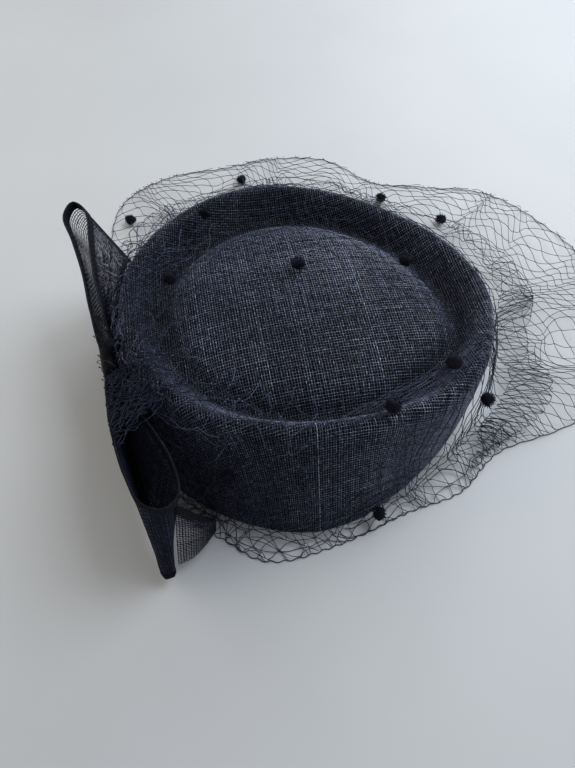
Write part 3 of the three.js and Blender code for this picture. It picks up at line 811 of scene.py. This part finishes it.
def crown_weave():
    """The coarse cloth of the crown as one piece of plain weave, cut into five meshes."""
    count = [int(CROWN.length.max() / p) + 1 for p in FABRIC_PITCH]
    across, along = ((np.arange(2 * n + 1) - n) * p for n, p in zip(count, FABRIC_PITCH))
    across = across + rng.normal(0, 0.06, across.shape) * FABRIC_PITCH[0]
    along = along + rng.normal(0, 0.06, along.shape) * FABRIC_PITCH[1]
    fx, fy = spun(*np.meshgrid(across, along, indexing="ij"), FABRIC_LEAN)
    degrees, way = blocked(fx, fy)
    mask = way < CROWN.reach(degrees) - 0.2
    grid, normals = CROWN.point(degrees, way), CROWN.normal(degrees, np.maximum(way, 1.0))
    bright = (np.arange(len(across)) == np.abs(across - BRIGHT_THREAD).argmin(), (fy < 0) & (way > 84))
    # The last tone value is a painted highlight on floats; the last argument is the crown's painted shade
    # and painted highlight.
    points, faces, shade = woven(grid, normals, (0.225, 0.225), 0.19, 0.2, mask, 0.12, 0.16,
                                 (0.55, 0.07, 0.13, 0.19), bright, painted_crown_light(degrees, way))
    middle = points[faces].mean(1)
    angle, distance = bearing(middle[:, 0], middle[:, 1])
    dome = distance < 0.86 * round_turn(plan(CREST, ANGLES), angle)
    near, left = middle[:, 1] < 0, middle[:, 0] < 0
    shares = {"dome": dome}
    for depth, here in (("near", near), ("far", ~near)):
        shares[f"{depth}_left"] = ~dome & here & left
        shares[f"{depth}_right"] = ~dome & here & ~left
    for name, part in shares.items():
        used, part_faces = np.unique(faces[part], return_inverse=True)
        cut = (points[used], part_faces.reshape(-1, 3), shade[used])
        cloth(f"crown_{name}_weave", STRAW, cut)


# Bow: see-through woven ribbon

KNOT_Z = KNOT_RISE * CROWN_HEIGHT
TOP_SEAT = drape_radius(BOW_ANGLE, KNOT_Z + KNOT_HEIGHT / 2)
LOW_SEAT = drape_radius(BOW_ANGLE, KNOT_Z - KNOT_HEIGHT / 2)
KNOT_LEAN = math.atan2(LOW_SEAT - TOP_SEAT, KNOT_HEIGHT)
KNOT_OFF = NET_THICKNESS / 2 + FIT_GAP + KNOT_DEPTH / 2
KNOT_RADIUS = (TOP_SEAT + LOW_SEAT) / 2 + KNOT_OFF / math.cos(KNOT_LEAN)
LOOP_START = KNOT_LENGTH / 2 + FIT_GAP + 1.25 * RIBBON_THICKNESS

# Height and rise of a ribbon's threads
RIBBON_THREAD = (0.14, 0.16)


def bow_point(side, run, out, rise):
    along = math.radians(BOW_ANGLE + side * (90 + BOW_TURN))
    away = math.radians(BOW_ANGLE + side * BOW_TURN)
    reach = LOOP_START + run * (LOOP_LENGTH - LOOP_START)
    z = rise * CROWN_HEIGHT
    point = polar(KNOT_RADIUS, BOW_ANGLE, z)
    point[0] += reach * math.cos(along) + out * LOOP_LENGTH * math.cos(away)
    point[1] += reach * math.sin(along) + out * LOOP_LENGTH * math.sin(away)
    degrees = math.degrees(math.atan2(point[1], point[0]))
    least = drape_radius(degrees, z) + NET_THICKNESS / 2 + FIT_GAP + RIBBON_THICKNESS
    return polar(max(math.hypot(point[0], point[1]), least), degrees, z)


def ribbon_grid(table, side, closed, pitch):
    """Grid of crossings along and across a ribbon, with its normals."""
    upper = curve([bow_point(side, *row[:3]) for row in table], 24, closed)
    lower = curve([bow_point(side, *row[3:]) for row in table], 24, closed)
    both = np.stack([upper, lower], 1)
    if closed:
        both = np.concatenate([both, both[:1]])
    middle = both.mean(1)
    way = np.concatenate([[0], np.cumsum(np.linalg.norm(np.diff(middle, axis=0), axis=1))])
    count = int(way[-1] / pitch) // 2 * 2
    at = np.linspace(0, way[-1], count + 1)
    edges = np.stack([[np.interp(at, way, both[:, e, c]) for c in range(3)] for e in (0, 1)])
    edges = np.moveaxis(edges, (0, 1, 2), (1, 2, 0))
    if closed:
        edges = edges[:-1]
    width = np.linalg.norm(edges[:, 0] - edges[:, 1], axis=1).max()
    bands = max(3, int(width / pitch))
    part = np.linspace(0, 1, bands + 1)[None, :, None]
    grid = edges[:, :1] * (1 - part) + edges[:, 1:] * part
    run = np.roll(grid, -1, 0) - np.roll(grid, 1, 0) if closed else np.gradient(grid, axis=0)
    return grid, unit(np.cross(run, np.gradient(grid, axis=1))), way[-1], width


def ribbon_cloth(name, grid, normals, widths, drift):
    made = woven(grid, normals, widths, *RIBBON_THREAD, drift=drift)
    return cloth(name, RIBBON, made)


def strip(name, grid, normals, first, last, lift, thickness, closed):
    """A thin closed band of doubled cloth between two columns of a ribbon's grid."""
    part, up = grid[:, first:last + 1], normals[:, first:last + 1]
    rows, columns = part.shape[:2]
    top, low = part + (lift + thickness) * up, part + lift * up
    points = np.concatenate([top.reshape(-1, 3), low.reshape(-1, 3)])
    skin = rows * columns
    faces, uv = [], []

    def edge(start, end, flip):
        """The narrow face between both skins, from one (row, column) to the next."""
        a, b = start[0] * columns + start[1], end[0] % rows * columns + end[1]
        quad = (a, skin + a, skin + b, b)
        faces.append(quad[::-1] if flip else quad)
        uv.extend([start, start, end, end])

    for k in range(rows if closed else rows - 1):
        here, ahead = k * columns, (k + 1) % rows * columns
        for m in range(columns - 1):
            a, b, c, d = here + m, ahead + m, ahead + m + 1, here + m + 1
            faces += [(a, b, c, d), (skin + a, skin + d, skin + c, skin + b)]
            corners = [(k, m), (k + 1, m), (k + 1, m + 1), (k, m + 1)]
            uv += corners + [corners[0], corners[3], corners[2], corners[1]]
        edge((k, 0), (k + 1, 0), False)
        edge((k, columns - 1), (k + 1, columns - 1), True)
    if not closed:
        for k, flip in ((0, True), (rows - 1, False)):
            for m in range(columns - 1):
                edge((k, m), (k, m + 1), flip)
    return mesh_object(name, points, faces, RIBBON_HEM, uv=uv)


def bow_loop(name, node, table, side, pitch, widths):
    grid, normal, length, width = ribbon_grid(table, side, True, pitch)
    piece = ribbon_cloth(name, grid, normal, widths, 0.12)
    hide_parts(node)
    bands = grid.shape[1] - 1
    hems = [
        strip(f"{name}_hem_top", grid, normal, 0, 3, -0.55, 1.1, True),
        strip(f"{name}_hem_low", grid, normal, bands - 2, bands, -0.45, 0.9, True),
    ]
    if side > 0:
        hems.append(loop_fold(f"{name}_fold", grid))
    return piece, hems, length, width, grid


def loop_fold(name, grid):
    """The ribbon's low edges turned in to each other between the two bands of a loop."""
    half = len(grid) // 2
    outer, inner = grid[:half, -1], grid[:half:-1][:half, -1]
    count = min(len(outer), len(inner))
    share = np.linspace(0, 1, 7)[None, :, None]
    across = outer[:count, None] * (1 - share) + inner[:count, None] * share
    across[:, :, 2] += 1.5 * np.sin(np.pi * share[..., 0])
    up = np.broadcast_to((0, 0, 1.0), across.shape)
    return ribbon_cloth(name, across, up, (0.72, 0.72), 0.1)


def bow_end(name, table, side, pitch, widths):
    grid, normal, length, width = ribbon_grid(table, side, False, pitch)
    piece = ribbon_cloth(name, grid, normal, widths, 0.1)
    # A wide near-black hem: the end's real dark hem, and painted shadow between the lower loop and the
    # crown.
    band = strip(f"{name}_hem", grid, normal, 0, 4, -0.5, 1.0, False)


def knot():
    """The wound middle of the bow, with soft pleats along the wrapped band."""
    across, around = 26, 48
    s = np.linspace(-1, 1, across + 1)[:, None]
    t = np.arange(around)[None, :] * 2 * np.pi / around
    c, n = np.cos(t), np.sin(t)
    pinch = 1 - 0.10 * np.abs(s) ** 4
    pleat = 1 + 0.035 * np.cos(s * 3.1 * np.pi) + 0.012 * np.sin(5 * t + 3 * s)
    x = 0.96 * KNOT_DEPTH / 2 * np.sign(c) * np.abs(c) ** 0.6 * pinch * pleat
    y = 0.98 * KNOT_LENGTH / 2 * s
    z = 0.97 * KNOT_HEIGHT / 2 * np.sign(n) * np.abs(n) ** 0.45 * pinch
    x, z = spun(x, z, math.degrees(KNOT_LEAN))
    x, y = spun(x, y, BOW_ANGLE)
    points = np.stack([x, y, z], -1).reshape(-1, 3) + polar(KNOT_RADIUS, BOW_ANGLE, KNOT_Z)
    faces, uv = [], []
    for i in range(across):
        low, high = i * around, (i + 1) * around
        for j in range(around):
            ahead = (j + 1) % around
            faces.append((low + j, high + j, high + ahead, low + ahead))
            uv += [(0.4 * (i + a), 1.2 * (j + b)) for a, b in ((0, 0), (1, 0), (1, 1), (0, 1))]
    faces.append(tuple(range(around)))
    faces.append(tuple(across * around + j for j in reversed(range(around))))
    uv += [(0.0, 0.0)] * (2 * around)
    piece = mesh_object("bow_knot_wrap", points, faces, RIBBON_HEM, uv=uv)
    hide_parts("bow_knot")


# Veil: knotted net in folds over the crown and out on the table

# Ripples past the rim: degrees, width in degrees, sideways shift as a share of it, height in mm
RIPPLES = [
    (352, 26, 0.05, 4.0), (8, 24, 0.05, 5.0), (30, 28, 0.05, 4.0), (58, 26, 0.05, 5.0),
    (84, 24, 0.05, 5.0), (110, 28, 0.05, 6.0), (136, 24, 0.05, 5.0), (160, 26, 0.05, 3.0),
    (264, 24, 0.05, 2.5), (290, 26, 0.05, 2.5), (318, 24, 0.05, 3.0), (336, 20, 0.05, 3.0),
]

# Degrees, where the net turns back past the base as a share of the spread, and how far, in mm
TURN_BACK = [
    (0, 0.43, 24), (8, 0.49, 24), (20, 0.45, 23), (33, 0.67, 24), (45, 0.73, 20), (58, 0.66, 10),
    (70, 0.60, 9), (82, 0.56, 12), (94, 0.66, 10), (106, 0.66, 16), (120, 0.62, 14), (135, 0.64, 18),
    (150, 0.60, 12), (165, 0.34, 2), (180, 0.16, 0), (215, 0.05, 0), (250, 0.05, 0), (275, 0.08, 0),
    (300, 0.06, 0), (320, 0.10, 0), (335, 0.18, 1), (348, 0.26, 15),
]
BACK_AT, BACK_LENGTH = 1, 2

# Share of the pull to the bow, share of the wall's way that the flat net has, rise of a turn-back
GATHER = 0.5
WALL_SHARE = 0.6
LAYER_RISE = 3.4


def ripple(x, y, size, length, seed):
    """A slow smooth field over the flat net, in millimetres."""
    own = np.random.default_rng(seed)
    total = np.zeros(np.shape(x))
    for _ in range(7):
        way = own.uniform(0, 2 * math.pi)
        wave = length * own.uniform(0.7, 1.6)
        total += np.sin(2 * math.pi * (x * math.cos(way) + y * math.sin(way)) / wave + own.uniform(0, 6.3))
    return size * total / math.sqrt(3.5)


def drape(fx, fy):
    """Where a point of the flat net lies, its normal, and how far inside the hem it is."""
    degrees, way = bearing(fx, fy)
    rim = plan(CREST, degrees) + 6
    drop = (DRAPE.reach(degrees) - VEIL_SPREAD * turn(VEIL_PLAN, HEM, degrees) - rim) * WALL_SHARE
    way = way + np.clip((way - rim) / drop, 0, 1) * drop * (1 / WALL_SHARE - 1)
    loose = eased(np.clip((way - plan(CREST, degrees) - 8) / 70, 0, 1))
    shift, lift = np.zeros_like(degrees), np.zeros_like(degrees)
    for at, wide, slip, high in RIPPLES:
        gap = gap_to(degrees, at)
        shift -= slip * wide * np.sin(2 * np.pi * gap / wide) * swell(gap, wide)
        lift += high * swell(gap, 0.45 * wide) * (0.8 + 0.2 * np.sin(way / 9.0 + at))
    gap = gap_to(degrees, BOW_ANGLE)
    pull = GATHER * swell(gap, 42.0) * np.clip((way - 55) / 70, 0, 1)
    turned = degrees + shift * loose - gap * pull
    reach = DRAPE.reach(turned)
    back = np.maximum(turn(TURN_BACK, BACK_LENGTH, turned), 0)
    hem = VEIL_SPREAD * turn(VEIL_PLAN, HEM, turned)
    start = reach - hem + VEIL_SPREAD * np.maximum(turn(TURN_BACK, BACK_AT, turned), 0.02)
    part = eased(np.clip((way - start) / np.maximum(back, 1), 0, 1))
    lie = way - 2 * back * part
    point, normal = DRAPE.point(turned, lie), DRAPE.normal(turned, lie)
    inside = reach - lie + 2 * back * (1 - part)
    low = np.clip(1 - point[..., 2] / 40.0, 0, 1)
    edge = np.clip(np.minimum(inside, reach - lie) / 18.0, 0.12, 1)
    layer = LAYER_RISE * (part + 0.8 * np.sin(np.pi * part)) * np.clip(back / 6, 0, 1)
    point[..., 2] += lift * loose * low * edge + layer * edge ** 0.5
    return point, normal, inside


# A net's knot: six corners round its middle, and the faces over and under them
KNOT_STAR = np.array([(1, 0, 0), (0, 1, 0), (-1, 0, 0), (0, -1, 0), (0, 0, 1), (0, 0, -1)], float)
KNOT_FACES = np.array([
    (0, 1, 4), (1, 2, 4), (2, 3, 4), (3, 0, 4), (1, 0, 5), (2, 1, 5), (3, 2, 5), (0, 3, 5),
])
NO_QUADS = np.zeros((0, 4), int)


def net(name, cell, lean, reach, turned, seed, keep=None, gauge=0.2, steps=5, offset=(0.0, 0.0),
        crumple=((2.6, 42.0),), material=NET):
    """Knotted diamond net, cut at the hem; crumple is the size and length of its distortion."""
    a, b = (polar(cell, turned + side * lean, 0)[:2] for side in (1, -1))
    span = int(reach / cell / math.sin(math.radians(2 * lean)) * 1.1) + 2
    i, j = np.meshgrid(np.arange(-span, span + 1), np.arange(-span, span + 1), indexing="ij")
    knots = i[..., None] * a + j[..., None] * b
    knots = knots + rng.normal(0, 0.035 * cell, knots.shape)
    near = np.hypot(knots[..., 0], knots[..., 1]) < reach + cell

    def laid(flat):
        x, y = flat[..., 0], flat[..., 1]
        dx, dy, dz = np.zeros(x.shape), np.zeros(x.shape), np.zeros(x.shape)
        for k, (size, length) in enumerate(crumple):
            dx += ripple(x, y, size, length, seed * 100 + k)
            dy += ripple(x, y, size, length, seed * 100 + 50 + k)
            dz += ripple(x, y, 1.0, length, seed * 100 + 80 + k)
        point, normal, inside = drape(x + dx, y + dy)
        height = offset[0] + offset[1] * np.abs(dz) / len(crumple)
        return point + height[..., None] * normal, normal, inside

    _, _, inside = laid(knots)
    good = near & (inside > 0)
    if keep is not None:
        good &= keep(knots)
    bars = []
    for di, dj in ((1, 0), (0, 1)):
        (start, end), (ok_a, ok_b), (in_a, in_b) = (
            (x[:len(x) - di, :len(x) - dj], x[di:, dj:]) for x in (knots, good, inside))
        cut = np.clip(np.where(ok_a, in_a, in_b) / np.maximum(np.abs(in_a - in_b), 1e-6), 0, 1)
        cut = np.where(ok_a & ok_b, 1.0, cut)
        first = np.where(ok_a[..., None], start, end)
        second = np.where(ok_a[..., None], end, start)
        use = (ok_a | ok_b) & (cut > 0.15)
        bars.append(np.stack([first[use], first[use] + (second - first)[use] * cut[use][:, None]], 1))
    bars = np.concatenate(bars)
    part = np.linspace(0, 1, steps)[None, :, None]
    flat = bars[:, :1] * (1 - part) + bars[:, 1:] * part
    sideways = np.stack([-(bars[:, 1, 1] - bars[:, 0, 1]), bars[:, 1, 0] - bars[:, 0, 0]], -1)
    sag = (rng.normal(0, 0.05, (len(bars), 1, 1)) * np.sin(np.pi * part)
           + rng.normal(0, 0.02, (len(bars), 1, 1)) * np.sin(2 * np.pi * part))
    flat = flat + sag * sideways[:, None, :]
    points, normals, _ = laid(flat)
    curl = rng.normal(0, 0.4, (len(bars), 1)) * np.sin(np.pi * part[..., 0])
    points = points + curl[..., None] * normals
    points[..., 2] = np.maximum(points[..., 2], 0.35)
    made = tubes(points, normals, gauge, gauge)
    shade = np.repeat(np.clip(rng.normal(0.45, 0.2, (len(bars), 1)), 0, 1), steps * 3, 1).ravel()
    where, up, _ = laid(knots[good])
    where[:, 2] = np.maximum(where[:, 2], 0.5)
    corners = (where[:, None, :] + 2.4 * gauge * KNOT_STAR[None]).reshape(-1, 3)
    sides = (np.arange(len(where))[:, None, None] * 6 + KNOT_FACES[None]).reshape(-1, 3)
    return cloth(name, material, merge([(*made, shade), (corners, NO_QUADS, sides, 1.1)]))


def strands(name, lines, gauge, shade, material, up=(0, 0, 1.0), seen=None, closed=False):
    """Single threads of the net along lines."""
    lines = np.array(lines)
    made = tubes(lines, np.broadcast_to(up, lines.shape), gauge, gauge, seen, closed)
    cloth(name, material, merge([(*made, shade)]))


def hem_strand():
    count = 900
    degrees = np.arange(count) * 360.0 / count
    way = DRAPE.reach(degrees) - 0.4 + 0.5 * np.sin(degrees * 1.9)
    points = DRAPE.point(degrees, way)
    points[:, 2] = np.maximum(points[:, 2], 0.5)
    strands("veil_hem", points[None], 0.26, 0.4, NET, closed=True)


def between(low, high, inner, outer=1000.0, past_crest=False):
    """Picks the knots between two angles and two ways, counted from the crest where asked."""
    def keep(knots):
        degrees, way = bearing(knots[..., 0], knots[..., 1])
        degrees = np.mod(degrees, 360)
        way = way - plan(CREST, degrees) if past_crest else way
        return (degrees > low) & (degrees < high) & (way > inner) & (way < outer)
    return keep


# Strands pulled tight over the groove: degrees and radius of both ends in mm, sideways bow
PULLED = [
    (292, 74, 352, 92, -1.5), (294, 77, 350, 94, 1.0), (296, 75, 352, 88, 2.0), (298, 79, 349, 93, -2.0),
    (301, 74, 354, 90, 0.5), (305, 78, 351, 86, 3.0), (309, 76, 353, 94, -1.0), (288, 76, 346, 92, -3.0),
    (303, 72, 356, 88, 1.5), (314, 75, 350, 90, 2.5), (298, 73, 345, 84, -0.5), (320, 74, 357, 91, 1.0),
]


def pulled_strands():
    steps = 24
    part = np.linspace(0, 1, steps)
    lines = []
    for first, near, last, far, bow in PULLED:
        a = polar(near, first, CROWN_HEIGHT + 1.2)
        b = polar(far, last, CROWN_HEIGHT + 1.4)
        line = a + (b - a) * part[:, None]
        side = unit(np.cross(b - a, (0, 0, 1.0)))
        line += (bow * np.sin(np.pi * part) + 0.3 * np.sin(5 * np.pi * part + first))[:, None] * side
        line[:, 2] -= 1.6 * np.sin(np.pi * part)
        lines.append(line)
    strands("veil_pulled_strands", lines, 0.2, 0.75, NET_LIT)


def stray_loops():
    """Loose curls of the net that stick out past the gathered side."""
    steps = 22
    part = np.linspace(0, 1, steps)
    lines = []
    for _ in range(26):
        degrees = rng.uniform(196, 226)
        z = rng.uniform(28, 66)
        seat = polar(drape_radius(degrees, z) + 3.0, degrees, z)
        out = polar(1.0, degrees, 0.0)
        run = np.array([-out[1], out[0], rng.uniform(-0.8, 0.8)])
        wide, tall = rng.uniform(1.5, 4.0), rng.uniform(2.5, 8.0)
        angle = part * rng.uniform(3.4, 6.0) - 0.3
        line = seat + np.outer(np.cos(angle) * wide, run)
        line = line + np.outer((1 - np.cos(angle)) / 2 * tall, out)
        lines.append(line + np.outer(np.sin(angle) * wide * 0.5, (0, 0, 1.0)))
    strands("veil_stray_loops", lines, 0.2, 0.4, NET, (0, 0.2, 1.0))


def bow_cover(grid, reach=0.29, layers=3):
    """Loose net from the crest over the open top of a loop and a little down its far side."""
    edge = grid[:int(reach * len(grid)), 0]
    steps = 22
    across = np.linspace(0, 1.22, steps)
    lines, seen = [], []
    for layer in range(layers):
        for way in (0.34, -0.34):
            for start in np.arange(-0.4, 1.4, 0.085) + 0.03 * layer:
                along = start + way * across + 0.010 * rng.normal(0, 1, steps)
                seen.append((along >= -0.02) & (along <= 1 - 0.25 * rng.random()))
                at = np.clip(along, 0, 1) * (len(edge) - 1)
                rim = np.stack([np.interp(at, np.arange(len(edge)), edge[:, c]) for c in range(3)], -1)
                degrees, _ = bearing(rim[:, 0], rim[:, 1])
                out = np.stack([np.cos(np.radians(degrees)), np.sin(np.radians(degrees)), 0 * degrees], -1)
                crest = out * (plan(CREST, degrees) - 2)[:, None] + (0, 0, CROWN_HEIGHT + 1.0)
                share = np.clip(across, 0, 1)[:, None]
                line = crest * (1 - share) + rim * share
                past = np.clip(across - 1, 0, 1)[:, None]
                line = line + out * (1.2 * np.minimum(1, 10 * past)) - past * (0, 0, 45.0)
                wave = np.sin(2.1 * across * 5 + start * 9 + layer) + np.sin(across * 17 - start * 23)
                line = line + 0.5 * wave[:, None] * (0, 0, 1.0) + rng.normal(0, 0.28, (steps, 3))
                lines.append(line)
    strands("veil_over_bow", lines, 0.2, 0.25, NET_LIT, (0, 0.1, 1.0), np.array(seen))


# Dots: tufts of cut pile on the net

DOT_RADIUS = 3.4
TUFT_FIBRES = 240


def dots():
    shape = bmesh.new()
    bmesh.ops.create_icosphere(shape, subdivisions=3, radius=1.0)
    seed = np.array([v.co[:] for v in shape.verts])
    faces = np.array([[v.index for v in f.verts] for f in shape.faces])
    shape.free()
    nodes = sorted(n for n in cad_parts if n.startswith("veil_dot_"))
    parts = []
    for node in nodes:
        low, high = (np.array(v) * 1000 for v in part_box(node))
        centre = (low + high) / 2 - ORIGIN
        wobble = np.zeros(len(seed))
        for _ in range(7):
            axis = unit(rng.normal(0, 1, 3))
            wobble += 0.07 * np.sin(3.2 * seed @ axis * rng.uniform(0.8, 1.6) + rng.uniform(0, 6.3))
        wobble += rng.normal(0, 0.035, len(seed))
        size = (high - low) / (high - low).max()
        core = centre + seed * size * DOT_RADIUS * (0.92 + wobble)[:, None]
        parts.append((core, NO_QUADS, faces, 0.4))
        way = unit(rng.normal(0, 1, (TUFT_FIBRES, 3)))
        root = centre + way * size * DOT_RADIUS * 0.8
        bend = rng.normal(0, 0.35, (TUFT_FIBRES, 3))
        length = rng.uniform(0.9, 1.7, (TUFT_FIBRES, 1))
        line = np.stack([root, root + way * length * 0.6, root + way * length + bend * 0.8], 1)
        across = np.cross(way, rng.normal(0, 1, (TUFT_FIBRES, 3)))[:, None]
        width = np.array([0.13, 0.12, 0.05])
        parts.append((*tubes(line, across, width, width), 0.6))
    points, faces, shade = merge(parts)
    points[:, 2] = np.maximum(points[:, 2], 0.1)
    piece = mesh_object("veil_dots", points, faces, CHENILLE, shade=shade)
    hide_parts(*nodes)


crown_layer()
crown_weave()

upper = bow_loop("bow_upper_cloth", "bow_upper_loop", UPPER_LOOP, -1, 1.5, (0.15, 0.32))
lower = bow_loop("bow_lower_cloth", "bow_lower_loop", LOWER_LOOP, 1, 1.3, (0.42, 0.42))
bow_end("bow_lower_cloth_end", END_PANEL, 1, 1.8, (0.24, 0.24))
knot()

veil = net("veil_net", 8.2, 30.0, 330.0, turned=-18.0, seed=3, gauge=0.19)
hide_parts("veil")
net("veil_gather", 7.6, 34.0, 300.0, turned=24.0, seed=5, keep=between(150, 285, 58, 178), steps=6,
    offset=(0.8, 1.6), crumple=((3.4, 46.0), (1.8, 17.0)), material=NET_LIT)
net("veil_gather_over", 7.2, 40.0, 300.0, turned=-40.0, seed=7, keep=between(164, 262, 66, 172), steps=6,
    offset=(1.4, 2.4), crumple=((3.6, 40.0), (2.2, 15.0)), material=NET_LIT)
net("veil_low_layer", 8.2, 30.0, 330.0, turned=24.0, seed=11,
    keep=between(248, 350, 34, past_crest=True), offset=(1.2, 0.8), crumple=((2.0, 40.0),))
hem_strand()
bow_cover(lower[-1])
pulled_strands()
stray_loops()
dots()


# Floor, light and camera

def area_light(name, place, target, size, power, color):
    light = bpy.data.lights.new(name, "AREA")
    light.shape = "RECTANGLE"
    light.size, light.size_y = size
    light.energy = power
    light.color = color
    lamp = bpy.data.objects.new(name, light)
    bpy.context.scene.collection.objects.link(lamp)
    lamp.location = place
    lamp.rotation_euler = (Vector(target) - Vector(place)).to_track_quat("-Z", "Y").to_euler()


floor_mesh = bpy.data.meshes.new("floor")
floor_mesh.from_pydata([(-3, -3, 0), (3, -3, 0), (3, 3, 0), (-3, 3, 0)], [], [(0, 1, 2, 3)])
floor_mesh.materials.append(TABLE)
floor = bpy.data.objects.new("floor", floor_mesh)
bpy.context.scene.collection.objects.link(floor)

area_light("window", (0.42, 0.34, 0.86), (0, 0, 0), (0.6, 0.6), 5.0, (0.94, 0.98, 1.0))
area_light("sky", (0.30, 1.1, 0.60), (0, 0, 0), (0.9, 0.5), 4.3, (0.93, 0.98, 1.0))
area_light("room", (-0.8, 0.1, 0.6), (0, 0, 0), (0.8, 0.8), 2.5, (1.0, 0.9, 0.72))
world = bpy.data.worlds.new("room")
world.use_nodes = True
world.node_tree.nodes["Background"].inputs[0].default_value = (1.0, 0.98, 0.95, 1)
world.node_tree.nodes["Background"].inputs[1].default_value = 0.28
bpy.context.scene.world = world

EYE = (np.array([31.4, -190.0, 290.2]) + ORIGIN) / 1000
LOOK = (np.array([2.5, -54.2, 68.0]) + ORIGIN) / 1000
camera_data = bpy.data.cameras.new("camera")
camera_data.sensor_width = 36.0
camera_data.lens = 577.0 * 36.0 / 768.0
camera = bpy.data.objects.new("camera", camera_data)
bpy.context.scene.collection.objects.link(camera)
camera.location = EYE
camera.rotation_euler = Vector(LOOK - EYE).to_track_quat("-Z", "Y").to_euler()
bpy.context.scene.camera = camera

bpy.context.scene.view_settings.view_transform = "Standard"
bpy.context.scene.view_settings.look = "Medium High Contrast"
